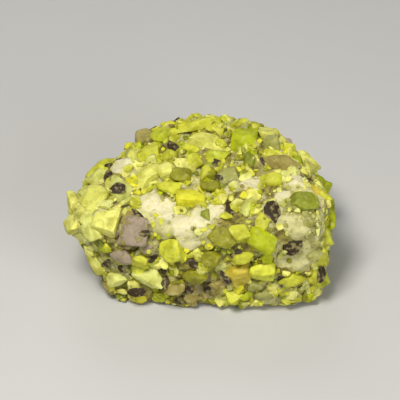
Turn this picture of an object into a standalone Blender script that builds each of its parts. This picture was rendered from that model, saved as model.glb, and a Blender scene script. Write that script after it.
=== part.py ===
"""One piece of turkish delight rolled in chopped pistachio.

A soft block, cut unevenly by hand, with the larger bits of nut stuck into its skin. The block and the
nuts are fused into one solid, because nothing here comes apart. Metres, +Z up, the front towards -Y.
The origin is the middle of the flat underside that the piece rests on.
"""

import math
import random

import bmesh
import bpy
from mathutils import Matrix, Vector, noise

NODE = "turkish_delight"
MM = 0.001

# The cut block. Each side is the way it faces, as azimuth and elevation in degrees, and its distance
# from the block's middle in mm. Azimuth 0 is the front and 90 the right-hand end.
SIDES = {
    "top": (-20, 80, 9.2),
    "underside": (0, -90, 9.8),
    "front": (-3, -4, 13.0),
    "right_end": (89, 1, 18.1),
    "back": (172, 10, 12.4),
    "left_end": (-98, 2, 21.2),
    "left_undercut": (-74, -44, 18.7),
    "front_left_corner": (-44, -2, 20.6),
    "back_left_slope": (-136, 34, 13.1),
    "back_right_slope": (125, 40, 15.8),
}
CORNER_SHARPNESS = 10  # a higher power leaves less round on the edges between the sides
DENTS = [(2.6, 1.1 * MM), (7.5, 0.7 * MM)]  # how many dents lie across the block, and how deep they are
# Where the block is pinched in: that way as azimuth and elevation in degrees, the pinch's width in
# radians, and its depth.
PINCHES = [(-80, -17, 0.33, 5.6 * MM)]
REST_DEPTH = 9.1 * MM  # the block has settled to a flat this far below its middle
MIDDLE = Vector((0.4 * MM, -0.3 * MM, REST_DEPTH))
FURTHEST = 26 * MM  # no skin lies further than this from the middle
LEAST_SLOPE = 0.2  # the skin never faces further off the way out than this share of a straight one
SKIN_STEP = 0.04  # how far off the points that give the skin's facing lie, in radians
HALVINGS = 40  # enough to settle a point of the skin to well under a micron
BLOCK_DETAIL = 4

# The chopped nuts, largest first: length in mm, and how many of that length are tried for.
NUT_SIZES = [(6.0, 8), (5.0, 26), (4.1, 90), (3.1, 120)]
LENGTH_SHARES = (0.88, 1.12)  # a nut's own length as a share of the length it is meant to have
WIDTH_SHARES = (0.42, 0.92)  # its width as a share of its length
THICKNESS_SHARES = (0.5, 0.85)  # and its thickness as a share of its width
TRIES_EACH = 24
# A nut's middle is out of the skin by its lift, a share of its thickness. Other nuts keep its spacing
# from it, a share of their mean length, and it leans off the skin by at most its tilt, in degrees. It
# faces as the skin does on average over its step, in radians.
SCATTERED = {"lift": 0.06, "spacing": 0.62, "tilt": 24, "step": 0.04}
STANDING_OUT = {"lift": 0.18, "spacing": 0.8, "tilt": 8, "step": 0.17}
NUT_CUTS = (4, 6)  # knife cuts across each bit of nut
CUT_DEPTHS = (0.3, 0.55)  # a cut's distance from the middle of the uncut cube, whose side is 1
CLEAR_OF_TABLE = 0.35 * MM  # no nut reaches lower than this
SEED = 20
SHARP_FROM = 30  # degrees between two faces from which their edge looks sharp

# The nuts that stand out on the front and top, as seen from the front, SEEN_FROM degrees above the
# table and EYE_AWAY off: how far right of and above SEEN_MIDDLE their middles show, their length, width
# and thickness, all in mm, and the turn of their long side in degrees.
SEEN_FROM = 38
EYE_AWAY = 340 * MM
SEEN_MIDDLE = Vector((0, -1.2 * MM, 9.5 * MM))
HALF_OUT = 0.5  # a nut's middle shows at this height over the skin, a share of its thickness
STANDOUTS = [
    (-6.0, 12.5, 4.4, 2.6, 2.0, 14),
    (-1.0, 13.8, 7.6, 2.4, 1.8, 10),
    (1.8, 11.3, 7.4, 3.2, 2.0, 2),
    (7.2, 11.6, 4.8, 4.6, 2.4, 80),
    (6.9, 14.6, 3.2, 2.0, 1.8, 10),
    (11.0, 12.4, 3.8, 3.4, 2.4, -10),
    (14.8, 9.9, 4.6, 2.4, 1.8, -48),
    (-11.2, 9.2, 2.6, 2.2, 1.8, 70),
    (-8.4, 9.4, 4.2, 3.2, 2.0, 30),
    (-0.9, 8.4, 4.0, 3.0, 2.2, 70),
    (3.0, 8.9, 4.4, 2.2, 1.8, -5),
    (-8.8, 5.6, 5.6, 4.0, 2.4, 75),
    (-5.3, 6.7, 3.8, 3.4, 2.2, 10),
    (-2.8, 5.8, 4.0, 3.4, 2.0, 60),
    (-5.2, 3.8, 4.2, 2.6, 2.0, -20),
    (-1.4, 2.0, 4.6, 3.2, 2.2, -12),
    (1.8, 3.8, 3.4, 2.4, 1.8, 20),
    (5.0, 5.6, 3.8, 3.2, 1.8, -30),
    (13.2, 7.5, 6.4, 3.2, 1.8, -16),
    (11.8, 5.0, 4.6, 2.6, 2.0, 5),
    (8.0, 0.5, 4.4, 2.6, 2.0, 82),
    (16.5, 1.3, 5.4, 3.8, 2.6, 0),
    (-16.4, 5.2, 4.2, 3.2, 2.2, 60),
    (-17.2, 1.6, 5.6, 4.6, 2.4, 75),
    (-14.8, -1.8, 5.4, 4.8, 2.4, 40),
    (-17.4, -3.2, 4.2, 3.2, 2.2, -30),
    (-10.6, -3.1, 6.0, 5.2, 1.8, 12),
    (-12.4, -7.0, 4.0, 3.4, 2.0, 50),
    (-13.2, -10.6, 3.8, 2.8, 2.2, 20),
    (-4.6, -6.0, 5.2, 4.6, 3.0, 75),
    (3.6, -4.2, 4.0, 3.8, 2.6, 30),
    (6.6, -3.4, 3.8, 3.2, 2.4, -20),
    (10.2, -4.6, 5.0, 4.4, 2.8, -12),
    (2.0, -7.2, 3.8, 3.2, 2.4, 20),
    (6.9, -7.0, 3.8, 2.0, 1.8, 5),
    (6.4, -10.2, 5.2, 4.0, 2.8, 80),
    (10.4, -9.8, 4.2, 3.8, 2.8, 5),
    (14.8, -10.8, 4.6, 3.0, 2.2, 10),
    (-9.8, -7.6, 3.4, 2.4, 2.0, 20),
    (-8.2, -10.4, 5.8, 3.2, 2.4, -20),
    (-1.0, -10.4, 4.4, 3.2, 2.4, 0),
    (3.0, -12.0, 3.8, 2.8, 2.2, 40),
    (-4.2, -12.4, 3.8, 3.0, 2.2, 20),
]

# Places on the front where the skin stays bare of large nuts, as right and up in mm, and their radius.
BARE = [
    (-11.9, 7.2, 1.9),
    (-7.2, 1.7, 1.7),
    (-5.0, 0.2, 1.9),
    (-3.0, -1.6, 1.7),
    (0.2, -0.8, 1.7),
    (2.5, 0.2, 1.3),
    (-5.4, -2.2, 1.5),
    (-1.5, -4.2, 1.6),
    (8.0, 4.2, 1.6),
    (11.2, 0.6, 1.4),
    (12.9, 2.4, 1.3),
    (15.0, 4.9, 1.5),
    (18.2, 4.6, 1.6),
    (16.6, 6.9, 1.2),
    (13.2, -1.2, 1.3),
    (15.4, -2.4, 1.9),
    (18.4, -2.4, 1.7),
    (17.2, -5.0, 1.8),
    (15.4, -7.4, 1.9),
    (19.0, -6.4, 1.4),
    (12.6, -7.4, 1.0),
    (19.7, 1.8, 1.0),
    (19.8, -3.8, 1.4),
    (19.6, -7.4, 1.2),
]


def towards(azimuth, elevation):
    """The unit vector that way. Azimuth 0 is the front (-Y) and 90 the right (+X)."""
    around, up = math.radians(azimuth), math.radians(elevation)
    return Vector(
        (math.sin(around) * math.cos(up), -math.cos(around) * math.cos(up), math.sin(up))
    )


SIDE_PLANES = [(towards(azimuth, elevation), away * MM) for azimuth, elevation, away in SIDES.values()]
PINCHED = [(towards(azimuth, elevation), width, depth) for azimuth, elevation, width, depth in PINCHES]
VIEWER = towards(0, SEEN_FROM)
SEEN_RIGHT = Vector((1, 0, 0))
SEEN_UP = VIEWER.cross(SEEN_RIGHT)


def skin(way):
    """The point of the block's skin that way from its middle: the sides, with the edges between them
    rounded, the skin's dents and pinches, and the flat that it rests on."""
    crowding = sum(max(0.0, way.dot(facing) / away) ** CORNER_SHARPNESS for facing, away in SIDE_PLANES)
    reach = crowding ** (-1 / CORNER_SHARPNESS)
    reach += sum(depth * noise.noise(way * across) for across, depth in DENTS)
    for pinched, width, depth in PINCHED:
        reach -= depth * math.exp(-(((way - pinched).length / width) ** 2))
    point = way * reach
    point.z = max(point.z, -REST_DEPTH)
    return MIDDLE + point


def skin_facing(way, step=SKIN_STEP):
    """The way that the skin faces there, from four points round it, each that far off in radians."""
    side = way.orthogonal().normalized() * step
    other = way.cross(side)
    across = skin((way + side).normalized()) - skin((way - side).normalized())
    along = skin((way + other).normalized()) - skin((way - other).normalized())
    return across.cross(along).normalized()


def seen_at(right, up, height=0.0):
    """The way to the skin under a point that stands that high over it and is seen that far right of
    and above SEEN_MIDDLE, both in mm."""
    aside = (SEEN_RIGHT * right + SEEN_UP * up) * MM
    near, far = 0.0, FURTHEST
    for _ in range(HALVINGS):
        depth = (near + far) / 2
        away = SEEN_MIDDLE + aside * (1 - depth / EYE_AWAY) + VIEWER * depth - MIDDLE
        if away.length > (skin(away.normalized()) - MIDDLE).length + height:
            far = depth
        else:
            near = depth
    return away.normalized()


def nut_place(way, size, long_side, setting):
    """Where one nut lies: half sunk in the skin that way, its long side turned as asked."""
    facing = skin_facing(way, setting["step"])
    long_side = (long_side - facing * long_side.dot(facing)).normalized()
    turn = Matrix((long_side, facing.cross(long_side), facing)).transposed()
    point = skin(way) + facing * size.z * setting["lift"]
    return {"point": point, "turn": turn, "size": size, **setting}


def standout_nuts():
    places = []
    for right, up, length, width, thickness, turn in STANDOUTS:
        angle = math.radians(turn)
        long_side = SEEN_RIGHT * math.cos(angle) + SEEN_UP * math.sin(angle)
        size = Vector((length, width, thickness)) * MM
        way = seen_at(right, up, size.z * HALF_OUT)
        places.append(nut_place(way, size, long_side, STANDING_OUT))
    return places


def any_direction(draw):
    return Vector([draw.gauss(0, 1) for _ in range(3)]).normalized()


def any_skin(draw):
    """A way from the middle, drawn so that every patch of the skin is met equally often."""
    while True:
        way = any_direction(draw)
        reach = (skin(way) - MIDDLE).length
        share = reach**2 / max(LEAST_SLOPE, way.dot(skin_facing(way)))
        if draw.random() * FURTHEST**2 < share:
            return way


def crowded(point, length, places):
    """Whether a nut of that length would lie too close to the nuts already placed."""
    for other in places:
        if (point - other["point"]).length < other["spacing"] * (length + other["size"].x) / 2:
            return True
    return False


def scattered_nuts(draw, places):
    """Adds nuts all over the skin, the largest first, each clear of those before it, of the bare
    places and of the table."""
    bare_places = [(skin(seen_at(right, up)), radius * MM) for right, up, radius in BARE]
    for length_mm, count in NUT_SIZES:
        placed = 0
        for _ in range(count * TRIES_EACH):
            way = any_skin(draw)
            length = length_mm * MM * draw.uniform(*LENGTH_SHARES)
            width = length * draw.uniform(*WIDTH_SHARES)
            thickness = width * draw.uniform(*THICKNESS_SHARES)
            size = Vector((length, width, thickness))
            place = nut_place(way, size, any_direction(draw), SCATTERED)
            point = place["point"]
            if point.z < length / 2 + CLEAR_OF_TABLE:
                continue
            if any((point - bare).length < radius + length / 2 for bare, radius in bare_places):
                continue
            if crowded(point, length, places):
                continue
            places.append(place)
            placed += 1
            if placed == count:
                break
    return places


def fill_unit_box(shape):
    """Centres the shape and stretches it to 1 across each way."""
    low = Vector([min(vert.co[axis] for vert in shape.verts) for axis in range(3)])
    high = Vector([max(vert.co[axis] for vert in shape.verts) for axis in range(3)])
    bmesh.ops.translate(shape, verts=shape.verts, vec=-(low + high) / 2)
    bmesh.ops.scale(shape, verts=shape.verts, vec=[1 / side for side in high - low])


def nut_mesh(name, draw, place):
    """One chopped nut: a rolled cube cut flat a few more times, then stretched to the nut's size and
    put in the skin."""
    shape = bmesh.new()
    bmesh.ops.create_cube(shape, size=1)
    for axis in "XZ":
        rolled = Matrix.Rotation(draw.uniform(0, math.tau), 3, axis)
        bmesh.ops.rotate(shape, verts=shape.verts, matrix=rolled)
    for _ in range(draw.randint(*NUT_CUTS)):
        facing = any_direction(draw)
        cut = bmesh.ops.bisect_plane(
            shape,
            geom=shape.verts[:] + shape.edges[:] + shape.faces[:],
            plane_co=facing * draw.uniform(*CUT_DEPTHS),
            plane_no=facing,
            clear_outer=True,
        )
        rim = [item for item in cut["geom_cut"] if isinstance(item, bmesh.types.BMEdge)]
        bmesh.ops.contextual_create(shape, geom=rim)
    fill_unit_box(shape)
    lean = Matrix.Identity(3)
    for axis in "XY":
        tilt = math.radians(place["tilt"])
        lean = lean @ Matrix.Rotation(draw.uniform(-tilt, tilt), 3, axis)
    sized = (place["turn"] @ lean @ Matrix.Diagonal(place["size"])).to_4x4()
    placed = Matrix.Translation(place["point"]) @ sized
    bmesh.ops.transform(shape, matrix=placed, verts=shape.verts)
    rise = CLEAR_OF_TABLE - min(vert.co.z for vert in shape.verts)
    bmesh.ops.translate(shape, verts=shape.verts, vec=(0, 0, max(0.0, rise)))
    bmesh.ops.recalc_face_normals(shape, faces=shape.faces)
    mesh = bpy.data.meshes.new(name)
    shape.to_mesh(mesh)
    shape.free()
    return mesh


def block_mesh(name):
    """The block of delight itself, a ball whose every point is moved out to the skin."""
    shape = bmesh.new()
    bmesh.ops.create_icosphere(shape, subdivisions=BLOCK_DETAIL, radius=1)
    for vert in shape.verts:
        vert.co = skin(vert.co.normalized())
    mesh = bpy.data.meshes.new(name)
    shape.to_mesh(mesh)
    shape.free()
    return mesh


def fuse(block, nuts):
    """Joins the nuts to the block as one closed skin, and drops what the joining leaves inside."""
    joining = block.modifiers.new("fuse_nuts", "BOOLEAN")
    joining.operation = "UNION"
    joining.operand_type = "COLLECTION"
    joining.collection = nuts
    graph = bpy.context.evaluated_depsgraph_get()
    fused = bpy.data.meshes.new_from_object(block.evaluated_get(graph))
    block.modifiers.clear()
    block.data = fused
    for nut in list(nuts.objects):
        bpy.data.objects.remove(nut)
    bpy.data.collections.remove(nuts)
    keep_outer_skin(fused)
    fused.shade_smooth()
    fused.set_sharp_from_angle(angle=math.radians(SHARP_FROM))


def keep_outer_skin(mesh):
    """Deletes every loose shell but the largest, so no scrap or sealed hollow is left."""
    shape = bmesh.new()
    shape.from_mesh(mesh)
    unseen = set(shape.verts)
    shells = []
    while unseen:
        shell, waiting = set(), [unseen.pop()]
        while waiting:
            vert = waiting.pop()
            shell.add(vert)
            for edge in vert.link_edges:
                neighbour = edge.other_vert(vert)
                if neighbour in unseen:
                    unseen.remove(neighbour)
                    waiting.append(neighbour)
        shells.append(shell)
    largest = max(shells, key=len)
    bmesh.ops.delete(shape, geom=[v for v in shape.verts if v not in largest], context="VERTS")
    bmesh.ops.triangulate(shape, faces=shape.faces)
    shape.to_mesh(mesh)
    shape.free()


def pistachio_coat():
    """The coat's finish: chopped pistachio, yellow-green and dull."""
    material = bpy.data.materials.new("pistachio_coat")
    material.use_nodes = True
    shader = material.node_tree.nodes["Principled BSDF"]
    shader.inputs["Base Color"].default_value = (0.50, 0.48, 0.09, 1)
    shader.inputs["Roughness"].default_value = 0.6
    shader.inputs["Metallic"].default_value = 0.0
    return material


def clear_scene():
    for thing in list(bpy.data.objects):
        bpy.data.objects.remove(thing)


def build():
    clear_scene()
    draw = random.Random(SEED)
    places = scattered_nuts(draw, standout_nuts())
    block = bpy.data.objects.new(NODE, block_mesh(NODE))
    bpy.context.scene.collection.objects.link(block)
    nuts = bpy.data.collections.new("nuts")
    bpy.context.scene.collection.children.link(nuts)
    for number, place in enumerate(places):
        name = f"nut_{number}"
        nuts.objects.link(bpy.data.objects.new(name, nut_mesh(name, random.Random(number), place)))
    fuse(block, nuts)
    block.data.materials.clear()
    block.data.materials.append(pistachio_coat())


build()
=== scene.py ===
"""The look of a piece of turkish delight rolled in chopped pistachio.

Soft cream delight shows between the nuts; elsewhere it is painted with nut dust, darkened as painted
shade in the gaps between the nuts. On it lie the larger bits of nut, whole in shape and place as in the
solid, then chips, crumbs, flakes of the kernels' purple skin, dark flakes laid in the gaps as painted
shade, and fine nut dust.
Metres, +Z up, the front towards -Y.
"""

import math
import random

import bmesh
import bpy
import numpy as np
from mathutils import Matrix, Vector, noise
from mathutils.bvhtree import BVHTree

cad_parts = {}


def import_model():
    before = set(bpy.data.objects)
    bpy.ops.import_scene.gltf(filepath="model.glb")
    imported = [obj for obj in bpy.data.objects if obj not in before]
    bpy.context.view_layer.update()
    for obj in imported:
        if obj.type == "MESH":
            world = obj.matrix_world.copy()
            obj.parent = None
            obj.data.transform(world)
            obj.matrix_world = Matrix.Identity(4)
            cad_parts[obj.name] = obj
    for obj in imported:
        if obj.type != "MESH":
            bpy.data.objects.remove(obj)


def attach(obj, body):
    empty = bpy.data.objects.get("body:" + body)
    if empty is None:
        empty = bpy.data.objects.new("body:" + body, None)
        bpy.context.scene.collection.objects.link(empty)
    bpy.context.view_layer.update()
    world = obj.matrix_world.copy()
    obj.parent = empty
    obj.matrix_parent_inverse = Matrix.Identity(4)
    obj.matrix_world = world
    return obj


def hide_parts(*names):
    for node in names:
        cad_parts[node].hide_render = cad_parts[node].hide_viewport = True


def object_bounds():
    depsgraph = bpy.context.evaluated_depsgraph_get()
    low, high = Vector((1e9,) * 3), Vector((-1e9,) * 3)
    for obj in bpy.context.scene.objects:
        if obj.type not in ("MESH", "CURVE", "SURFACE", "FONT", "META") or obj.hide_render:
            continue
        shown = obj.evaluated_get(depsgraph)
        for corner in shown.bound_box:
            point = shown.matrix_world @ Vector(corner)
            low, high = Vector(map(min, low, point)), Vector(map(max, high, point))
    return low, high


MM = 0.001
NODE = "turkish_delight"

# ---------------------------------------------------------------- the cut block, as the solid has it

# Each side is the way it faces, as azimuth and elevation in degrees, and its distance from the block's
# middle in mm. Azimuth 0 is the front and 90 the right-hand end.
SIDES = {
    "top": (-20, 80, 9.2),
    "underside": (0, -90, 9.8),
    "front": (-3, -4, 13.0),
    "right_end": (89, 1, 18.1),
    "back": (172, 10, 12.4),
    "left_end": (-98, 2, 21.2),
    "left_undercut": (-74, -44, 18.7),
    "front_left_corner": (-44, -2, 20.6),
    "back_left_slope": (-136, 34, 13.1),
    "back_right_slope": (125, 40, 15.8),
}
CORNER_SHARPNESS = 10
DENTS = [(2.6, 1.1 * MM), (7.5, 0.7 * MM)]
# Where the block is pinched in: that way as azimuth and elevation in degrees, the pinch's width in
# radians, and its depth.
PINCHES = [(-80, -17, 0.33, 5.6 * MM)]
REST_DEPTH = 9.1 * MM
MIDDLE = Vector((0.4 * MM, -0.3 * MM, REST_DEPTH))
FURTHEST = 26 * MM
LEAST_SLOPE = 0.2
SKIN_STEP = 0.04
HALVINGS = 40

# ---------------------------------------------------------------- the larger nuts, as the solid has them

NUT_SIZES = [(6.0, 8), (5.0, 26), (4.1, 90), (3.1, 120)]
LENGTH_SHARES = (0.88, 1.12)
WIDTH_SHARES = (0.42, 0.92)
THICKNESS_SHARES = (0.5, 0.85)
TRIES_EACH = 24
SCATTERED = {"lift": 0.06, "spacing": 0.62, "tilt": 24, "step": 0.04}
STANDING_OUT = {"lift": 0.18, "spacing": 0.8, "tilt": 8, "step": 0.17}
NUT_CUTS = (4, 6)
CUT_DEPTHS = (0.3, 0.55)
CLEAR_OF_TABLE = 0.35 * MM
SEED = 20

# How far right of and above SEEN_MIDDLE the middle of each shows, its length, width and thickness, all
# in mm as seen from the front and SEEN_FROM degrees up, EYE_AWAY off, the turn of its long side in
# degrees, and its flesh.
SEEN_FROM = 38
EYE_AWAY = 340 * MM
SEEN_MIDDLE = Vector((0, -1.2 * MM, 9.5 * MM))
HALF_OUT = 0.5
STANDOUTS = [
    (-6.0, 12.5, 4.4, 2.6, 2.0, 14, "lime"),
    (-1.0, 13.8, 7.6, 2.4, 1.8, 10, "yellow green"),
    (1.8, 11.3, 7.4, 3.2, 2.0, 2, "pale yellow"),
    (7.2, 11.6, 4.8, 4.6, 2.4, 80, "deep lime"),
    (6.9, 14.6, 3.2, 2.0, 1.8, 10, "yellow green"),
    (11.0, 12.4, 3.8, 3.4, 2.4, -10, "pale yellow"),
    (14.8, 9.9, 4.6, 2.4, 1.8, -48, "pale yellow"),
    (-11.2, 9.2, 2.6, 2.2, 1.8, 70, "grey green"),
    (-8.4, 9.4, 4.2, 3.2, 2.0, 30, "yellow green"),
    (-0.9, 8.4, 4.0, 3.0, 2.2, 70, "yellow green"),
    (3.0, 8.9, 4.4, 2.2, 1.8, -5, "lime"),
    (-8.8, 5.6, 5.6, 4.0, 2.4, 75, "pale yellow"),
    (-5.3, 6.7, 3.8, 3.4, 2.2, 10, "pale yellow"),
    (-2.8, 5.8, 4.0, 3.4, 2.0, 60, "olive"),
    (-5.2, 3.8, 4.2, 2.6, 2.0, -20, "bright yellow"),
    (-1.4, 2.0, 4.6, 3.2, 2.2, -12, "deep yellow"),
    (1.8, 3.8, 3.4, 2.4, 1.8, 20, "olive"),
    (5.0, 5.6, 3.8, 3.2, 1.8, -30, "grey green"),
    (13.2, 7.5, 6.4, 3.2, 1.8, -16, "toasted"),
    (11.8, 5.0, 4.6, 2.6, 2.0, 5, "yellow green"),
    (8.0, 0.5, 4.4, 2.6, 2.0, 82, "pale green"),
    (16.5, 1.3, 5.4, 3.8, 2.6, 0, "deep green"),
    (-16.4, 5.2, 4.2, 3.2, 2.2, 60, "pale green"),
    (-17.2, 1.6, 5.6, 4.6, 2.4, 75, "soft yellow"),
    (-14.8, -1.8, 5.4, 4.8, 2.4, 40, "pale yellow"),
    (-17.4, -3.2, 4.2, 3.2, 2.2, -30, "pale green"),
    (-10.6, -3.1, 6.0, 5.2, 1.8, 12, "skinned"),
    (-12.4, -7.0, 4.0, 3.4, 2.0, 50, "skinned"),
    (-13.2, -10.6, 3.8, 2.8, 2.2, 20, "pale green"),
    (-4.6, -6.0, 5.2, 4.6, 3.0, 75, "bright yellow"),
    (3.6, -4.2, 4.0, 3.8, 2.6, 30, "olive"),
    (6.6, -3.4, 3.8, 3.2, 2.4, -20, "yellow green"),
    (10.2, -4.6, 5.0, 4.4, 2.8, -12, "deep lime"),
    (2.0, -7.2, 3.8, 3.2, 2.4, 20, "olive"),
    (6.9, -7.0, 3.8, 2.0, 1.8, 5, "yellow green"),
    (6.4, -10.2, 5.2, 4.0, 2.8, 80, "amber"),
    (10.4, -9.8, 4.2, 3.8, 2.8, 5, "bright yellow"),
    (14.8, -10.8, 4.6, 3.0, 2.2, 10, "yellow green"),
    (-9.8, -7.6, 3.4, 2.4, 2.0, 20, "yellow green"),
    (-8.2, -10.4, 5.8, 3.2, 2.4, -20, "pale green"),
    (-1.0, -10.4, 4.4, 3.2, 2.4, 0, "olive"),
    (3.0, -12.0, 3.8, 2.8, 2.2, 40, "toasted"),
    (-4.2, -12.4, 3.8, 3.0, 2.2, 20, "toasted"),
]

# Places on the front that are bare of large nuts: right, up and radius in mm, and how thick the nut
# dust lies there, from 0 to 1.
BARE = [
    (-11.9, 7.2, 1.9, 0.0),
    (-7.2, 1.7, 1.7, 0.0),
    (-5.0, 0.2, 1.9, 0.0),
    (-3.0, -1.6, 1.7, 0.1),
    (0.2, -0.8, 1.7, 0.1),
    (2.5, 0.2, 1.3, 0.0),
    (-5.4, -2.2, 1.5, 0.75),
    (-1.5, -4.2, 1.6, 0.35),
    (8.0, 4.2, 1.6, 0.0),
    (11.2, 0.6, 1.4, 0.4),
    (12.9, 2.4, 1.3, 0.0),
    (15.0, 4.9, 1.5, 0.1),
    (18.2, 4.6, 1.6, 0.1),
    (16.6, 6.9, 1.2, 0.1),
    (13.2, -1.2, 1.3, 0.8),
    (15.4, -2.4, 1.9, 0.9),
    (18.4, -2.4, 1.7, 0.9),
    (17.2, -5.0, 1.8, 0.9),
    (15.4, -7.4, 1.9, 0.7),
    (19.0, -6.4, 1.4, 0.7),
    (12.6, -7.4, 1.0, 0.8),
    (19.7, 1.8, 1.0, 0.3),
    (19.8, -3.8, 1.4, 0.8),
    (19.6, -7.4, 1.2, 0.7),
]

# ---------------------------------------------------------------- what the solid leaves to the look

BLOCK_DETAIL = 7
BLOCK_RELIEF = [(4.5, 0.7 * MM), (1.6, 0.26 * MM), (0.7, 0.11 * MM)]  # its swells' size in mm, height
BARE_REACH = 1.3  # the cream shows this much further than the place that is kept bare of large nuts
CREAM_SWELL = 0.5 * MM  # how far the soft delight presses out between the nuts where it lies bare
LEAST_SHARE = 0.001  # stands in for a bareness of 0, which can't be divided by
SHARP_FROM = 40  # degrees between two faces of a bit from which the edge between them is sharp

NUT_ROUND = 0.16 * MM  # how far the nuts' cut edges are worn
SAME_POINT = 0.02 * MM  # nearer than this, two corners of a worn edge are one
NUT_FACET = 0.75 * MM  # the nuts' faces are divided until no edge is longer
DIVISIONS = 4  # but this many times at most
NUT_SOFTENING = 2  # how many times each nut's points are then evened out
NUT_RELIEF = [(1.9, 0.18 * MM), (0.7, 0.09 * MM)]
RIND_FROM = 0.7  # how far a nut's skin reaches down its sides
RIND_FADE = 4  # and how fast it ends there
NUT_COLOURS_SEED = 31

# The small bits strewn over the piece: how many, their lengths in mm, their width as a share of their
# length, their thickness as a share of their width, how far they tilt in degrees, and how high they
# sit as a share of their thickness. The flakes are those besides the listed front flakes of kernel skin
# and painted shade.
CHIPS = {
    "seed": 11,
    "count": 1500,
    "lengths": (0.9, 2.8),
    "widths": (0.5, 0.9),
    "thicknesses": (0.45, 0.85),
    "tilt": 22,
    "lift": 0.12,
}
CRUMBS = {
    "seed": 12,
    "count": 2300,
    "lengths": (0.3, 0.9),
    "widths": (0.5, 1.0),
    "thicknesses": (0.5, 0.9),
    "tilt": 30,
    "lift": 0.2,
}
FLAKES = {
    "seed": 13,
    "count": 26,
    "lengths": (1.2, 3.2),
    "widths": (0.5, 0.9),
    "thicknesses": (0.8, 1.0),
    "tilt": 16,
    "lift": 0.25,
}
MOSTLY_SHORT = 1.7  # the power that makes the short ones commoner than the long ones
KEPT_BARE = 0.985  # the share of the small bits that a bare place stays free of
KEPT_DUSTY = 0.6  # and that share where the nut dust lies thick
LOWEST_SHARE = 0.25  # no small bit is met lower than this share of its length
# The flakes placed one by one on the front are kernel skins and dark flakes laid in the gaps as painted
# shade.
OFF_THE_FRONT = -0.15  # the cosine of the angle off the view up to which skins are placed one by one

# The shapes that the small bits are picked from: how many there are, and the flats cut off each.
SHAPES_SEED = 7
CHIP_SHAPES = {"kinds": 24, "cuts": 5, "depths": (0.2, 0.42)}
CRUMB_SHAPES = {"kinds": 16, "cuts": 3, "depths": (0.25, 0.45)}
FLAKE_SHAPES = {"kinds": 12, "cuts": 6, "depths": (0.14, 0.4)}
FLAKE_THICKNESS = 0.16  # as a share of the ball that it is cut from
FLAKE_CURLS = (0.15, 0.5)
FLAKE_CURL_ACROSS = 0.4  # how much flatter a flake curls across than along
SAME_CORNER = 0.03  # corners of a small bit nearer than this share of its length are one

# Dark flakes listed on the front: kernel skins, and flakes laid in the gaps between nuts as painted
# shade. Right and up, length and width in mm, turn in degrees.
SKIN_AND_SHADE_SPOTS = [
    (-4.4, 9.8, 2.9, 2.0, -35),
    (2.4, 7.7, 1.8, 0.9, 0),
    (3.0, 5.3, 1.4, 0.8, -30),
    (10.0, 7.6, 1.9, 1.0, -40),
    (11.2, -0.2, 4.0, 2.5, -80),
    (4.6, 0.4, 2.8, 2.2, 30),
    (14.2, -5.0, 3.6, 2.8, 70),
    (16.7, 4.8, 1.2, 0.8, 0),
    (18.6, -9.5, 2.6, 2.0, 60),
    (12.6, -10.2, 2.6, 1.2, 85),
    (-12.5, 3.6, 2.5, 2.0, 10),
    (-14.1, 5.4, 2.2, 1.1, 70),
    (-14.0, 7.1, 1.3, 0.9, 60),
    (-0.9, -7.8, 2.4, 1.5, -40),
    (-9.2, -0.6, 3.4, 0.9, -62),
    (-8.4, -3.2, 1.6, 1.0, 20),
    (-7.2, -6.9, 1.9, 1.2, 60),
    (-5.6, -8.7, 1.9, 1.0, -50),
    (5.6, -6.3, 2.0, 1.5, 30),
    (3.9, -10.0, 2.8, 1.6, -70),
    (1.3, -11.5, 2.2, 1.1, 60),
    (-1.9, -11.9, 2.0, 1.3, 0),
    (-2.8, -13.4, 1.9, 1.2, 30),
    (-5.4, -11.0, 2.6, 1.2, 70),
    (-9.6, -12.2, 2.8, 1.6, 0),
    (-14.2, -7.8, 1.9, 1.2, 60),
    (-11.8, -8.6, 1.6, 1.1, 0),
]
SKIN_AND_SHADE_SPOTS_SEED = 14
# Each such flake is a kernel skin, or a dark flake laid in a gap between nuts as painted shade.
SKIN_AND_SHADE_SPOT_HEIGHT = 0.8 * MM  # how high over the block such a skin lies, about
SKIN_AND_SHADE_SPOT_LIFT = 0.2 * MM  # how far its middle is lifted off what it lies on
SKIN_AND_SHADE_SPOT_CLEAR = 0.42  # no chip or crumb lies nearer to its middle than this share of its length

# The colours of pistachio flesh as they look in daylight, 0 to 255, and how common each is.
FLESH = {
    "yellow green": ((204, 204, 64), 26),
    "pale yellow": ((230, 227, 124), 18),
    "soft yellow": ((212, 211, 104), 4),
    "deep yellow": ((224, 219, 50), 8),
    "bright yellow": ((216, 217, 68), 10),
    "olive": ((148, 146, 30), 11),
    "deep green": ((142, 150, 42), 6),
    "lime": ((192, 198, 52), 4),
    "deep lime": ((180, 189, 8), 8),
    "pale green": ((216, 217, 130), 7),
    "grey green": ((162, 161, 92), 6),
    "toasted": ((166, 152, 90), 3),
    "amber": ((212, 192, 70), 0.4),
}
# The darkest skin colour: the kernel skin's purple brown, made as dark as the shade in the gaps between
# nuts, since the flakes laid there as painted shade take it.
HUSK_AND_SHADE = (50, 40, 17)
HUSK_PALE = (156, 141, 120)
CREAM = (218, 211, 172)
DUSTY = (172, 168, 104)
FLESH_SPREAD = (0.86, 1.08)  # how much darker or lighter one bit is than its colour
SKINNED_SHARE = 0.10  # of the bits of nut, those that keep the kernel's purple skin on their outside
# The front's flakes placed one by one are kernel skins and dark flakes painted as shade in the gaps.
SKINNED_ON_FRONT = 0.025  # and that share where the front's own skins are placed one by one

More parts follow.
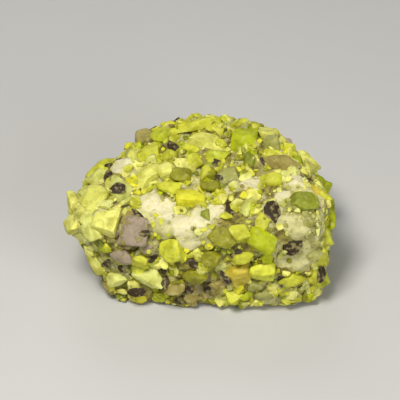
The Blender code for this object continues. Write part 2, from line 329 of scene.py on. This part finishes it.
# Patches where the nuts differ from the rest: right, up and radius in mm, the flesh found there, and
# the share of bits with their skin on.
PATCHES = [
    (-10.8, -3.6, 4.2, ("grey green", "toasted"), 0.75),
    (-12.6, -8.0, 2.6, ("grey green",), 0.6),
    (-1.0, -11.5, 4.5, ("toasted", "olive"), 0.25),
    (16.5, -3.5, 6.0, ("grey green", "pale green", "grey green"), 0.05),
    (15.0, 5.0, 4.5, ("pale yellow", "pale green"), 0.02),
    (4.8, 5.2, 2.4, ("grey green", "pale green"), 0.05),
    (12.0, 11.6, 3.8, ("pale yellow", "yellow green"), 0.0),
    (-2.0, -3.0, 2.4, ("pale yellow", "pale green"), 0.0),
    (-17.4, 0.6, 6.4, ("pale yellow", "pale green"), 0.02),
]
PATCH_EDGE = (0.6, 1.1)  # how ragged a patch's edge is, as shares of its radius

# Each lamp's azimuth and elevation in degrees, its distance and size in metres, its watts and colour.
LAMPS = {
    "key": (-28, 60, 0.32, 0.09, 1.0, (1.0, 0.968, 0.92)),
    "fill": (40, 22, 0.45, 0.26, 0.98, (0.97, 0.96, 0.98)),
    "back": (190, 42, 0.45, 0.26, 0.4, (0.97, 0.98, 1.0)),
}
ROOM_COLOUR = (0.98, 0.97, 0.94, 1)
ROOM_LIGHT = 0.14
LENS = 200  # mm
FLOOR_REACH = 1.5  # metres


def towards(azimuth, elevation):
    """The unit vector that way. Azimuth 0 is the front (-Y) and 90 the right (+X)."""
    around, up = math.radians(azimuth), math.radians(elevation)
    return Vector(
        (math.sin(around) * math.cos(up), -math.cos(around) * math.cos(up), math.sin(up))
    )


SIDE_PLANES = [(towards(azimuth, elevation), away * MM) for azimuth, elevation, away in SIDES.values()]
PINCHED = [(towards(azimuth, elevation), width, depth) for azimuth, elevation, width, depth in PINCHES]
VIEWER = towards(0, SEEN_FROM)
SEEN_RIGHT = Vector((1, 0, 0))
SEEN_UP = VIEWER.cross(SEEN_RIGHT)


# ---------------------------------------------------------------- the block's skin


def skin(way):
    """The point of the block's skin that way from its middle: the sides, with the edges between them
    rounded, the skin's dents and pinches, and the flat that it rests on."""
    crowding = sum(max(0.0, way.dot(facing) / away) ** CORNER_SHARPNESS for facing, away in SIDE_PLANES)
    reach = crowding ** (-1 / CORNER_SHARPNESS)
    reach += sum(depth * noise.noise(way * across) for across, depth in DENTS)
    for pinched, width, depth in PINCHED:
        reach -= depth * math.exp(-(((way - pinched).length / width) ** 2))
    point = way * reach
    point.z = max(point.z, -REST_DEPTH)
    return MIDDLE + point


def skin_facing(way, step=SKIN_STEP):
    """The way that the skin faces there, from four points round it, each that far off in radians."""
    side = way.orthogonal().normalized() * step
    other = way.cross(side)
    across = skin((way + side).normalized()) - skin((way - side).normalized())
    along = skin((way + other).normalized()) - skin((way - other).normalized())
    return across.cross(along).normalized()


def seen_at(right, up, height=0.0):
    """The way to the skin under a point that stands that high over it and is seen that far right of
    and above SEEN_MIDDLE, both in mm."""
    aside = (SEEN_RIGHT * right + SEEN_UP * up) * MM
    near, far = 0.0, FURTHEST
    for _ in range(HALVINGS):
        depth = (near + far) / 2
        away = SEEN_MIDDLE + aside * (1 - depth / EYE_AWAY) + VIEWER * depth - MIDDLE
        if away.length > (skin(away.normalized()) - MIDDLE).length + height:
            far = depth
        else:
            near = depth
    return away.normalized()


def any_direction(draw):
    return Vector([draw.gauss(0, 1) for _ in range(3)]).normalized()


def any_skin(draw):
    """A way from the middle, drawn so that every patch of the skin is met equally often."""
    while True:
        way = any_direction(draw)
        reach = (skin(way) - MIDDLE).length
        share = reach**2 / max(LEAST_SLOPE, way.dot(skin_facing(way)))
        if draw.random() * FURTHEST**2 < share:
            return way


# ---------------------------------------------------------------- where the larger nuts lie


def nut_place(way, size, long_side, setting):
    """Where one nut lies: half sunk in the skin that way, its long side turned as asked."""
    facing = skin_facing(way, setting["step"])
    long_side = (long_side - facing * long_side.dot(facing)).normalized()
    turn = Matrix((long_side, facing.cross(long_side), facing)).transposed()
    point = skin(way) + facing * size.z * setting["lift"]
    return {"point": point, "turn": turn, "size": size, **setting}


def standout_nuts():
    """The nuts that stand out on the front, each where it is seen."""
    places = []
    for right, up, length, width, thickness, turn, _ in STANDOUTS:
        angle = math.radians(turn)
        long_side = SEEN_RIGHT * math.cos(angle) + SEEN_UP * math.sin(angle)
        size = Vector((length, width, thickness)) * MM
        way = seen_at(right, up, size.z * HALF_OUT)
        places.append(nut_place(way, size, long_side, STANDING_OUT))
    return places


def crowded(point, length, places):
    """Whether a nut of that length would lie too close to the nuts already placed."""
    for other in places:
        if (point - other["point"]).length < other["spacing"] * (length + other["size"].x) / 2:
            return True
    return False


def scattered_nuts(draw, places):
    """Adds nuts all over the skin, the largest first, each clear of those before it, of the bare
    places and of the table."""
    bare_places = [(skin(seen_at(right, up)), radius * MM) for right, up, radius, _ in BARE]
    for length_mm, count in NUT_SIZES:
        placed = 0
        for _ in range(count * TRIES_EACH):
            way = any_skin(draw)
            length = length_mm * MM * draw.uniform(*LENGTH_SHARES)
            width = length * draw.uniform(*WIDTH_SHARES)
            thickness = width * draw.uniform(*THICKNESS_SHARES)
            size = Vector((length, width, thickness))
            place = nut_place(way, size, any_direction(draw), SCATTERED)
            point = place["point"]
            if point.z < length / 2 + CLEAR_OF_TABLE:
                continue
            if any((point - bare).length < radius + length / 2 for bare, radius in bare_places):
                continue
            if crowded(point, length, places):
                continue
            places.append(place)
            placed += 1
            if placed == count:
                break
    return places


# ---------------------------------------------------------------- the shapes of the bits


def cut_flat(shape, cuts, depths, draw, outside):
    """Slices flats off the shape. The faces left of the kernel's own outside keep outside = 1."""
    for face in shape.faces:
        face[outside] = 1
    for _ in range(cuts):
        facing = any_direction(draw)
        cut = bmesh.ops.bisect_plane(
            shape,
            geom=shape.verts[:] + shape.edges[:] + shape.faces[:],
            plane_co=facing * draw.uniform(*depths),
            plane_no=facing,
            clear_outer=True,
        )
        rim = [item for item in cut["geom_cut"] if isinstance(item, bmesh.types.BMEdge)]
        for made in bmesh.ops.contextual_create(shape, geom=rim)["faces"]:
            made[outside] = 0
    low = Vector([min(vert.co[axis] for vert in shape.verts) for axis in range(3)])
    high = Vector([max(vert.co[axis] for vert in shape.verts) for axis in range(3)])
    bmesh.ops.translate(shape, verts=shape.verts, vec=-(low + high) / 2)
    bmesh.ops.scale(shape, verts=shape.verts, vec=[1 / side for side in high - low])


def as_arrays(shape, outside):
    """The shape's points, its triangles, and for each point whether it lies on the kernel's outside."""
    bmesh.ops.triangulate(shape, faces=shape.faces)
    bmesh.ops.recalc_face_normals(shape, faces=shape.faces)
    shape.verts.index_update()
    points = np.array([vert.co for vert in shape.verts])
    faces = np.array([[vert.index for vert in face.verts] for face in shape.faces])
    husked = np.array([float(all(face[outside] for face in vert.link_faces)) for vert in shape.verts])
    shape.free()
    return points, faces, husked


def divide_long_edges(shape, longest):
    """Divides the shape's faces until no edge is much longer than that, and drops what this folds."""
    for _ in range(DIVISIONS):
        long_edges = [edge for edge in shape.edges if edge.calc_length() > longest]
        if not long_edges:
            break
        bmesh.ops.subdivide_edges(shape, edges=long_edges, cuts=1)
        bmesh.ops.triangulate(shape, faces=[face for face in shape.faces if len(face.verts) > 3])
        folded = [vert for vert in shape.verts if len(vert.link_edges) == 2]
        bmesh.ops.delete(shape, geom=folded, context="VERTS")


def roughen(shape, relief, shift):
    """Moves the shape's points in and out along the way they face."""
    shape.normal_update()
    moved = []
    for vert in shape.verts:
        out = sum(height * noise.noise(vert.co / (size * MM) + shift) for size, height in relief)
        moved.append(vert.co + vert.normal * out)
    for vert, point in zip(shape.verts, moved):
        vert.co = point


def large_nut(draw, place):
    """One of the solid's nuts, with its edges worn and its faces broken up. What faces out of the
    block was the kernel's own outside."""
    shape = bmesh.new()
    outside = shape.faces.layers.int.new("outside")
    bmesh.ops.create_cube(shape, size=1)
    for axis in "XZ":
        rolled = Matrix.Rotation(draw.uniform(0, math.tau), 3, axis)
        bmesh.ops.rotate(shape, verts=shape.verts, matrix=rolled)
    cut_flat(shape, draw.randint(*NUT_CUTS), CUT_DEPTHS, draw, outside)
    lean = Matrix.Identity(3)
    for axis in "XY":
        tilt = math.radians(place["tilt"])
        lean = lean @ Matrix.Rotation(draw.uniform(-tilt, tilt), 3, axis)
    sized = (place["turn"] @ lean @ Matrix.Diagonal(place["size"])).to_4x4()
    placed = Matrix.Translation(place["point"]) @ sized
    bmesh.ops.transform(shape, matrix=placed, verts=shape.verts)
    rise = CLEAR_OF_TABLE - min(vert.co.z for vert in shape.verts)
    bmesh.ops.translate(shape, verts=shape.verts, vec=(0, 0, max(0.0, rise)))
    bmesh.ops.recalc_face_normals(shape, faces=shape.faces)
    bmesh.ops.bevel(
        shape,
        geom=shape.edges[:],
        offset=NUT_ROUND,
        offset_type="OFFSET",
        segments=1,
        profile=0.5,
        affect="EDGES",
        clamp_overlap=True,
        material=-1,
    )
    bmesh.ops.remove_doubles(shape, verts=shape.verts, dist=SAME_POINT)
    bmesh.ops.triangulate(shape, faces=shape.faces)
    divide_long_edges(shape, NUT_FACET)
    for _ in range(NUT_SOFTENING):
        bmesh.ops.smooth_vert(
            shape, verts=shape.verts, factor=0.5, use_axis_x=True, use_axis_y=True, use_axis_z=True
        )
    roughen(shape, NUT_RELIEF, place["point"] * 1000)
    points, faces, _ = as_arrays(shape, outside)
    out = np.array((place["turn"] @ lean).col[2]) / place["size"].z
    husked = np.clip((points - np.array(place["point"])) @ out * RIND_FADE + RIND_FROM, 0, 1)
    return points, faces, husked


def small_bits(draw, kinds, cuts, depths):
    """A handful of different small shapes, each about 1 across: balls with flats cut off them."""
    shapes = []
    for _ in range(kinds):
        shape = bmesh.new()
        outside = shape.faces.layers.int.new("outside")
        bmesh.ops.create_icosphere(shape, subdivisions=1, radius=0.5)
        cut_flat(shape, cuts, depths, draw, outside)
        bmesh.ops.remove_doubles(shape, verts=shape.verts, dist=SAME_CORNER)
        shapes.append(as_arrays(shape, outside))
    return shapes


def husk_flakes(draw, kinds, cuts, depths):
    """Thin flakes, about 1 across, curled the way they lay round a kernel."""
    shapes = []
    for _ in range(kinds):
        shape = bmesh.new()
        outside = shape.faces.layers.int.new("outside")
        bmesh.ops.create_icosphere(shape, subdivisions=2, radius=0.5)
        cut_flat(shape, cuts, depths, draw, outside)
        bmesh.ops.remove_doubles(shape, verts=shape.verts, dist=SAME_CORNER)
        curl = draw.uniform(*FLAKE_CURLS)
        for vert in shape.verts:
            bend = vert.co.x**2 + FLAKE_CURL_ACROSS * vert.co.y**2
            vert.co.z = vert.co.z * FLAKE_THICKNESS - curl * bend
        shapes.append(as_arrays(shape, outside))
    return shapes


# ---------------------------------------------------------------- joining many bits into one piece


def placed_copy(shape, point, turn, size):
    """A copy of the shape at that point, turned and sized, and lifted clear of the table."""
    points, faces, husked = shape
    matrix = np.array(turn @ Matrix.Diagonal(size))
    placed = points @ matrix.T + np.array(point)
    placed[:, 2] += max(0.0, CLEAR_OF_TABLE / 2 - placed[:, 2].min())
    return placed, faces, husked


def joined(name, bits, colours, skinned):
    """One mesh of all the bits. Each has its own flesh colour, and 1 or 0 for a husk on its outside."""
    points, faces, flesh, rind, husk = [], [], [], [], []
    start = 0
    for (bit_points, bit_faces, husked), colour, has_skin in zip(bits, colours, skinned):
        points.append(bit_points)
        faces.append(bit_faces + start)
        flesh.append(np.tile(np.array(colour + (1.0,)), (len(bit_points), 1)))
        rind.append(husked)
        husk.append(husked * has_skin)
        start += len(bit_points)
    mesh = bpy.data.meshes.new(name)
    mesh.from_pydata(np.concatenate(points).tolist(), [], np.concatenate(faces).tolist())
    mesh.update()
    mesh.attributes.new("flesh", "FLOAT_COLOR", "POINT").data.foreach_set(
        "color", np.concatenate(flesh).ravel()
    )
    for share, values in (("rind", rind), ("husk", husk)):
        mesh.attributes.new(share, "FLOAT", "POINT").data.foreach_set("value", np.concatenate(values))
    mesh.shade_smooth()
    mesh.set_sharp_from_angle(angle=math.radians(SHARP_FROM))
    piece = bpy.data.objects.new(name, mesh)
    bpy.context.scene.collection.objects.link(piece)
    return piece


def linear(colour):
    """A colour given as 0 to 255, as the shaders take it."""
    return tuple(
        part / 255 / 12.92 if part <= 10 else ((part / 255 + 0.055) / 1.055) ** 2.4 for part in colour
    )


def any_flesh(draw, point, patches):
    """The colour of a bit at that point and whether it has its skin on, as the patch that it lies in
    or FLESH says."""
    names, weights = list(FLESH), [common for _, common in FLESH.values()]
    on_front = (point - MIDDLE).normalized().dot(VIEWER) > OFF_THE_FRONT
    skinned = SKINNED_ON_FRONT if on_front else SKINNED_SHARE
    for middle, radius, patch_names, patch_skinned in patches:
        if (point - middle).length < radius * draw.uniform(*PATCH_EDGE):
            names, weights, skinned = patch_names, None, patch_skinned
            break
    spread = draw.uniform(*FLESH_SPREAD)
    colour = linear(FLESH[draw.choices(names, weights)[0]][0])
    return tuple(min(1.0, part * spread) for part in colour), float(draw.random() < skinned)


def flesh_patches():
    """PATCHES, with the point of the skin that each lies round."""
    return [
        (skin(seen_at(right, up)), radius * MM, names, skinned)
        for right, up, radius, names, skinned in PATCHES
    ]


# ---------------------------------------------------------------- the pieces


def bareness(point, bare_places):
    """How bare the skin is there, 1 in the middle of a bare place and 0 outside them all, and how
    thick the nut dust lies on it."""
    dustiest, most, total = 0.0, 0.0, 0.0
    for bare, radius, dust in bare_places:
        share = max(0.0, 1 - ((point - bare).length / radius) ** 2)
        most = max(most, share)
        total += share
        dustiest += share * dust
    return most, dustiest / max(total, LEAST_SHARE)


def delight_block():
    """The soft block itself, with fine swells in its skin, pressed out where it lies bare."""
    shape = bmesh.new()
    bareness_layer = shape.verts.layers.float.new("bare")
    dust_layer = shape.verts.layers.float.new("dusty")
    bmesh.ops.create_icosphere(shape, subdivisions=BLOCK_DETAIL, radius=1)
    bare_places = [
        (skin(seen_at(right, up)), radius * BARE_REACH * MM, dust) for right, up, radius, dust in BARE
    ]
    for vert in shape.verts:
        way = vert.co.normalized()
        point = skin(way)
        bare, dust = bareness(point, bare_places)
        vert.co = point + way * bare * CREAM_SWELL
        vert[bareness_layer] = bare
        vert[dust_layer] = dust
    roughen(shape, BLOCK_RELIEF, Vector())
    for vert in shape.verts:
        vert.co.z = max(vert.co.z, 0.0)
    mesh = bpy.data.meshes.new("delight_block")
    shape.to_mesh(mesh)
    shape.free()
    mesh.shade_smooth()
    piece = bpy.data.objects.new("delight_block", mesh)
    bpy.context.scene.collection.objects.link(piece)
    return piece


def large_nuts():
    """All of the solid's nuts. Those that stand out have their own colours."""
    places = scattered_nuts(random.Random(SEED), standout_nuts())
    bits, colours, skinned = [], [], []
    patches = flesh_patches()
    draw = random.Random(NUT_COLOURS_SEED)
    for number, place in enumerate(places):
        bits.append(large_nut(random.Random(number), place))
        colour, has_skin = any_flesh(draw, place["point"], patches)
        if number < len(STANDOUTS):
            name = STANDOUTS[number][-1]
            has_skin = float(name == "skinned")
            if name in FLESH:
                colour = linear(FLESH[name][0])
        colours.append(colour)
        skinned.append(has_skin)
    return joined("pistachio_pieces", bits, colours, skinned)


def surface_of(pieces):
    """What the pieces make together, for finding where a small bit comes to lie on them."""
    points, faces = [], []
    for piece in pieces:
        start = len(points)
        points += [vert.co.copy() for vert in piece.data.vertices]
        faces += [[start + corner for corner in face.vertices] for face in piece.data.polygons]
    return BVHTree.FromPolygons(points, faces)


def met_from_outside(surface, way, drop=5 * MM):
    """The place on the surface that a bit pressed in from that way meets, and the way it faces."""
    facing = skin_facing(way)
    point, normal, _, _ = surface.ray_cast(skin(way) + facing * drop, -facing, 2 * drop)
    return (skin(way), facing) if point is None else (point, (normal + facing).normalized())


def strewn(name, kind, shapes, surface, first=()):
    """Bits of that kind all over the surface, each turned at random and a little sunk into it. Where
    some come first, they have the front to themselves."""
    draw = random.Random(kind["seed"])
    shortest, longest = kind["lengths"]
    bits = list(first)
    colours = [(1.0, 1.0, 1.0)] * len(first)
    skinned = [1.0] * len(first)
    patches = flesh_patches()
    bare_places = [
        (skin(seen_at(right, up)), radius * MM, KEPT_BARE * (1 - dust) + KEPT_DUSTY * dust)
        for right, up, radius, dust in BARE
    ]
    bare_places += [
        (skin(seen_at(right, up, SKIN_AND_SHADE_SPOT_HEIGHT)), length * SKIN_AND_SHADE_SPOT_CLEAR * MM, 1.0)
        for right, up, length, _, _ in SKIN_AND_SHADE_SPOTS
    ]
    while len(bits) < len(first) + kind["count"]:
        way = any_skin(draw)
        if first and way.dot(VIEWER) > OFF_THE_FRONT:
            continue
        point, facing = met_from_outside(surface, way)
        length = MM * (shortest + (longest - shortest) * draw.random() ** MOSTLY_SHORT)
        width = length * draw.uniform(*kind["widths"])
        thickness = width * draw.uniform(*kind["thicknesses"])
        if point.z < length * LOWEST_SHARE:
            continue
        if any(
            (point - bare).length < radius and draw.random() < kept
            for bare, radius, kept in bare_places
        ):
            continue
        facing = (facing + any_direction(draw) * math.tan(math.radians(kind["tilt"]))).normalized()
        side = any_direction(draw)
        side = (side - facing * side.dot(facing)).normalized()
        turn = Matrix((side, facing.cross(side), facing)).transposed()
        size = Vector((length, width, thickness))
        shape = draw.choice(shapes)
        bits.append(placed_copy(shape, point + facing * thickness * kind["lift"], turn, size))
        colour, has_skin = any_flesh(draw, point, patches)
        colours.append(colour)
        skinned.append(has_skin)
    return joined(name, bits, colours, skinned)


def met_by_the_eye(surface, right, up):
    """The first place on the surface that is seen that far right of and above SEEN_MIDDLE, in mm, and
    the way that a flake on it faces."""
    eye = SEEN_MIDDLE + VIEWER * EYE_AWAY
    seen = SEEN_MIDDLE + (SEEN_RIGHT * right + SEEN_UP * up) * MM
    point, normal, _, _ = surface.ray_cast(eye, (seen - eye).normalized())
    if point is None:
        return met_from_outside(surface, seen_at(right, up))
    return point, (normal + skin_facing((point - MIDDLE).normalized()) + VIEWER).normalized()


def skin_and_shade_flakes(shapes, surface):
    """The listed flakes that show on the front, each in its place: kernel skins, and dark flakes laid in
    the gaps between nuts as painted shade.
    """
    bits = []
    draw = random.Random(SKIN_AND_SHADE_SPOTS_SEED)
    for right, up, length, width, turn in SKIN_AND_SHADE_SPOTS:
        point, facing = met_by_the_eye(surface, right, up)
        angle = math.radians(turn)
        side = SEEN_RIGHT * math.cos(angle) + SEEN_UP * math.sin(angle)
        side = (side - facing * side.dot(facing)).normalized()
        frame = Matrix((side, facing.cross(side), facing)).transposed()
        size = Vector((length, width, width)) * MM
        bits.append(placed_copy(draw.choice(shapes), point + facing * SKIN_AND_SHADE_SPOT_LIFT, frame, size))
    return bits


# ---------------------------------------------------------------- the finishes


class Finish:
    """One material, and short ways to add the textures that its shader takes."""

    def __init__(self, name):
        self.material = bpy.data.materials.new(name)
        self.material.use_nodes = True
        self.nodes = self.material.node_tree.nodes
        self.links = self.material.node_tree.links
        self.shader = self.nodes["Principled BSDF"]
        self.place = self.nodes.new("ShaderNodeTexCoord").outputs["Object"]

    def set(self, **values):
        """Sets the shader's own values, each named with underscores for spaces."""
        for name, value in values.items():
            self.shader.inputs[name.replace("_", " ")].default_value = value

    def grain(self, size, detail=3.0, roughness=0.55):
        """Noise with grains of that size in mm."""
        texture = self.nodes.new("ShaderNodeTexNoise")
        texture.inputs["Scale"].default_value = 1 / (size * MM)
        texture.inputs["Detail"].default_value = detail
        texture.inputs["Roughness"].default_value = roughness
        self.links.new(self.place, texture.inputs["Vector"])
        return texture.outputs["Fac"]

    def band(self, value, low, high, low_to=0.0, high_to=1.0):
        """The value, stretched so that low to high becomes low_to to high_to."""
        stretch = self.nodes.new("ShaderNodeMapRange")
        stretch.interpolation_type = "SMOOTHSTEP"
        names = ("From Min", "From Max", "To Min", "To Max")
        for name, number in zip(names, (low, high, low_to, high_to)):
            stretch.inputs[name].default_value = number
        self.links.new(value, stretch.inputs["Value"])
        return stretch.outputs["Result"]

    def times(self, first, second):
        """One value times another."""
        product = self.nodes.new("ShaderNodeMath")
        product.operation = "MULTIPLY"
        for socket, value in zip(product.inputs, (first, second)):
            if isinstance(value, float):
                socket.default_value = value
            else:
                self.links.new(value, socket)
        return product.outputs["Value"]

    def own(self, name, output):
        """A value that the piece's mesh carries."""
        attribute = self.nodes.new("ShaderNodeAttribute")
        attribute.attribute_name = name
        return attribute.outputs[output]

    def mixed(self, share, first, second, blend="MIX"):
        """The first colour, with that share of the second in it."""
        mix = self.nodes.new("ShaderNodeMix")
        mix.data_type = "RGBA"
        mix.blend_type = blend
        for socket, value in zip((mix.inputs[0], mix.inputs[6], mix.inputs[7]), (share, first, second)):
            if isinstance(value, bpy.types.NodeSocket):
                self.links.new(value, socket)
            elif isinstance(value, float):
                socket.default_value = value
            else:
                socket.default_value = linear(value) + (1.0,)
        return mix.outputs[2]

    def bumps(self, heights):
        """Relief from several grains: pairs of a height value and its depth in mm."""
        last = None
        for value, depth in heights:
            bump = self.nodes.new("ShaderNodeBump")
            bump.inputs["Distance"].default_value = depth * MM
            self.links.new(value, bump.inputs["Height"])
            if last is not None:
                self.links.new(last, bump.inputs["Normal"])
            last = bump.outputs["Normal"]
        self.links.new(last, self.shader.inputs["Normal"])

    def colour_from(self, colour):
        self.links.new(colour, self.shader.inputs["Base Color"])

    def roughness_from(self, value):
        self.links.new(value, self.shader.inputs["Roughness"])


def nut_finish():
    """Pistachio: each bit in its own green or yellow, mottled, with purple skin left on some."""
    finish = Finish("pistachio")
    finish.set(Subsurface_Weight=0.22, Subsurface_Scale=0.7 * MM, Specular_IOR_Level=0.3)
    finish.shader.inputs["Subsurface Radius"].default_value = (1.0, 0.85, 0.25)
    flesh = finish.own("flesh", "Color")
    greener = finish.times(finish.own("rind", "Fac"), 0.3)
    ripe = finish.mixed(greener, flesh, (205, 214, 130), "MULTIPLY")
    blotches = finish.band(finish.grain(1.8), 0.4, 0.7, 0.0, 0.75)
    mottled = finish.mixed(blotches, ripe, (190, 186, 90), "MULTIPLY")
    pale = finish.mixed(0.45, flesh, (248, 246, 182))
    paler = finish.mixed(finish.band(finish.grain(0.7), 0.52, 0.75, 0.0, 0.45), mottled, pale)
    pits = finish.band(finish.grain(0.35), 0.56, 0.7, 0.0, 0.3)
    pitted = finish.mixed(pits, paler, (120, 112, 40))
    husk = finish.times(finish.own("husk", "Fac"), finish.band(finish.grain(1.1), 0.34, 0.46))
    husk_colour = finish.mixed(finish.band(finish.grain(1.1), 0.3, 0.5), HUSK_AND_SHADE, HUSK_PALE)
    finish.colour_from(finish.mixed(husk, pitted, husk_colour))
    finish.roughness_from(finish.band(finish.grain(0.9), 0.3, 0.7, 0.42, 0.66))
    finish.bumps([(finish.grain(0.9, 5.0), 0.22), (finish.grain(0.25, 3.0), 0.06)])
    return finish.material


def skin_and_shade_finish():
    """The kernels' own thin skin: purple brown, paler and greyer where it is rubbed. The dark flakes
    laid in the gaps between nuts as painted shade wear it too.
    """
    finish = Finish("skin_and_painted_shade")
    finish.set(Subsurface_Weight=0.05, Subsurface_Scale=0.3 * MM, Specular_IOR_Level=0.25)
    rubbed = finish.mixed(finish.band(finish.grain(0.8), 0.46, 0.74), HUSK_AND_SHADE, HUSK_PALE)
    dusty = finish.band(finish.grain(0.8), 0.5, 0.66)
    finish.colour_from(finish.mixed(dusty, rubbed, (132, 124, 66)))
    finish.roughness_from(finish.band(finish.grain(0.6), 0.3, 0.7, 0.45, 0.7))
    finish.bumps([(finish.grain(0.5, 4.0), 0.12)])
    return finish.material


def delight_finish():
    """Cream delight, soft and a little clear, with green nut dust and fine specks stuck to it. Where the
    nuts cover it, its dust is painted darker olive brown as shade in the gaps between them.
    """
    finish = Finish("cream_delight")
    finish.set(Subsurface_Weight=0.45, Subsurface_Scale=1.2 * MM, Specular_IOR_Level=0.45)
    finish.shader.inputs["Subsurface Radius"].default_value = (1.0, 0.85, 0.6)
    # Where nuts cover the delight it is painted nut-dust olive, darkened to brown as painted shade in
    # the gaps between the nuts.
    dust_and_gap_shade = finish.mixed(finish.band(finish.grain(0.9), 0.4, 0.65), (152, 143, 56), (94, 84, 26))
    clouds = finish.band(finish.grain(5.0), 0.46, 0.58, 0.0, 0.85)
    paler = finish.mixed(clouds, dust_and_gap_shade, (208, 203, 142))
    specks = finish.band(finish.grain(0.35), 0.56, 0.68, 0.0, 0.6)
    specked = finish.mixed(specks, paler, (68, 58, 28))
    ragged = finish.band(finish.grain(1.2), 0.3, 0.6, 0.4, 1.6)
    bare = finish.band(finish.times(finish.own("bare", "Fac"), ragged), 0.1, 0.5)
    stains = finish.band(finish.grain(0.8), 0.48, 0.66, 0.0, 0.7)
    cream = finish.mixed(stains, CREAM, (204, 200, 118))
    powder = finish.mixed(finish.band(finish.grain(1.3), 0.36, 0.66), DUSTY, (200, 195, 136))
    uneven = finish.band(finish.grain(1.4), 0.3, 0.6, 0.7, 1.4)
    fallen = finish.times(finish.own("dusty", "Fac"), uneven)
    dusted = finish.mixed(finish.band(fallen, 0.1, 0.8), cream, powder)
    finish.colour_from(finish.mixed(bare, specked, dusted))
    finish.roughness_from(finish.band(finish.grain(1.0), 0.3, 0.7, 0.4, 0.6))
    finish.bumps([(finish.grain(1.2, 4.0), 0.3), (finish.grain(0.3, 3.0), 0.08)])
    return finish.material


# ---------------------------------------------------------------- floor, lights and camera


def pale_floor():
    """A plain floor, for the stage alone."""
    shape = bmesh.new()
    bmesh.ops.create_grid(shape, x_segments=1, y_segments=1, size=FLOOR_REACH)
    mesh = bpy.data.meshes.new("floor")
    shape.to_mesh(mesh)
    shape.free()
    floor = bpy.data.objects.new("floor", mesh)
    bpy.context.scene.collection.objects.link(floor)
    finish = Finish("pale_floor")
    finish.set(Roughness=0.8, Specular_IOR_Level=0.2)
    finish.colour_from(finish.mixed(finish.grain(60.0), (187, 187, 184), (193, 193, 190)))
    floor.data.materials.append(finish.material)


def soft_light(name, azimuth, elevation, distance, size, watts, colour):
    """A square lamp off the piece that way, turned towards it."""
    lamp = bpy.data.lights.new(name, "AREA")
    lamp.size = size
    lamp.energy = watts
    lamp.color = colour
    light = bpy.data.objects.new(name, lamp)
    way = towards(azimuth, elevation)
    light.location = MIDDLE + way * distance
    light.rotation_euler = way.to_track_quat("Z", "Y").to_euler()
    bpy.context.scene.collection.objects.link(light)


def studio(middle):
    """The lamps, the light of the room, and a camera that looks at the middle of the piece."""
    for name, (azimuth, elevation, distance, size, watts, colour) in LAMPS.items():
        soft_light(name, azimuth, elevation, distance, size, watts, colour)
    world = bpy.data.worlds.new("studio")
    world.use_nodes = True
    room = world.node_tree.nodes["Background"]
    room.inputs["Color"].default_value = ROOM_COLOUR
    room.inputs["Strength"].default_value = ROOM_LIGHT
    bpy.context.scene.world = world
    bpy.context.scene.view_settings.view_transform = "Standard"
    lens = bpy.data.cameras.new("camera")
    lens.lens = LENS
    camera = bpy.data.objects.new("camera", lens)
    camera.location = middle + VIEWER * EYE_AWAY
    camera.rotation_euler = VIEWER.to_track_quat("Z", "Y").to_euler()
    bpy.context.scene.collection.objects.link(camera)
    bpy.context.scene.camera = camera


# ---------------------------------------------------------------- the whole


def main():
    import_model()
    cad_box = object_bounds()
    middle = (Vector(cad_box[0]) + Vector(cad_box[1])) / 2
    block = delight_block()
    nuts = large_nuts()
    draw = random.Random(SHAPES_SEED)
    chips = strewn(
        "pistachio_chips",
        CHIPS,
        small_bits(draw, **CHIP_SHAPES),
        surface_of([block]),
    )
    crumbs = strewn(
        "pistachio_crumbs",
        CRUMBS,
        small_bits(draw, **CRUMB_SHAPES),
        surface_of([block, chips]),
    )
    flakes = husk_flakes(draw, **FLAKE_SHAPES)
    surface = surface_of([block, nuts, chips])
    # These flakes are kernel skins, and dark flakes laid in the gaps between nuts as painted shade.
    skins_and_shade = strewn(
        "skin_and_painted_shade_flakes",
        FLAKES,
        flakes,
        surface,
        skin_and_shade_flakes(flakes, surface),
    )
    block.data.materials.append(delight_finish())
    skins_and_shade.data.materials.append(skin_and_shade_finish())
    pistachio = nut_finish()
    for piece in (nuts, chips, crumbs):
        piece.data.materials.append(pistachio)
    for piece in (block, nuts, chips, crumbs, skins_and_shade):
        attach(piece, "root")
        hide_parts(NODE)
    pale_floor()
    studio(middle)


main()
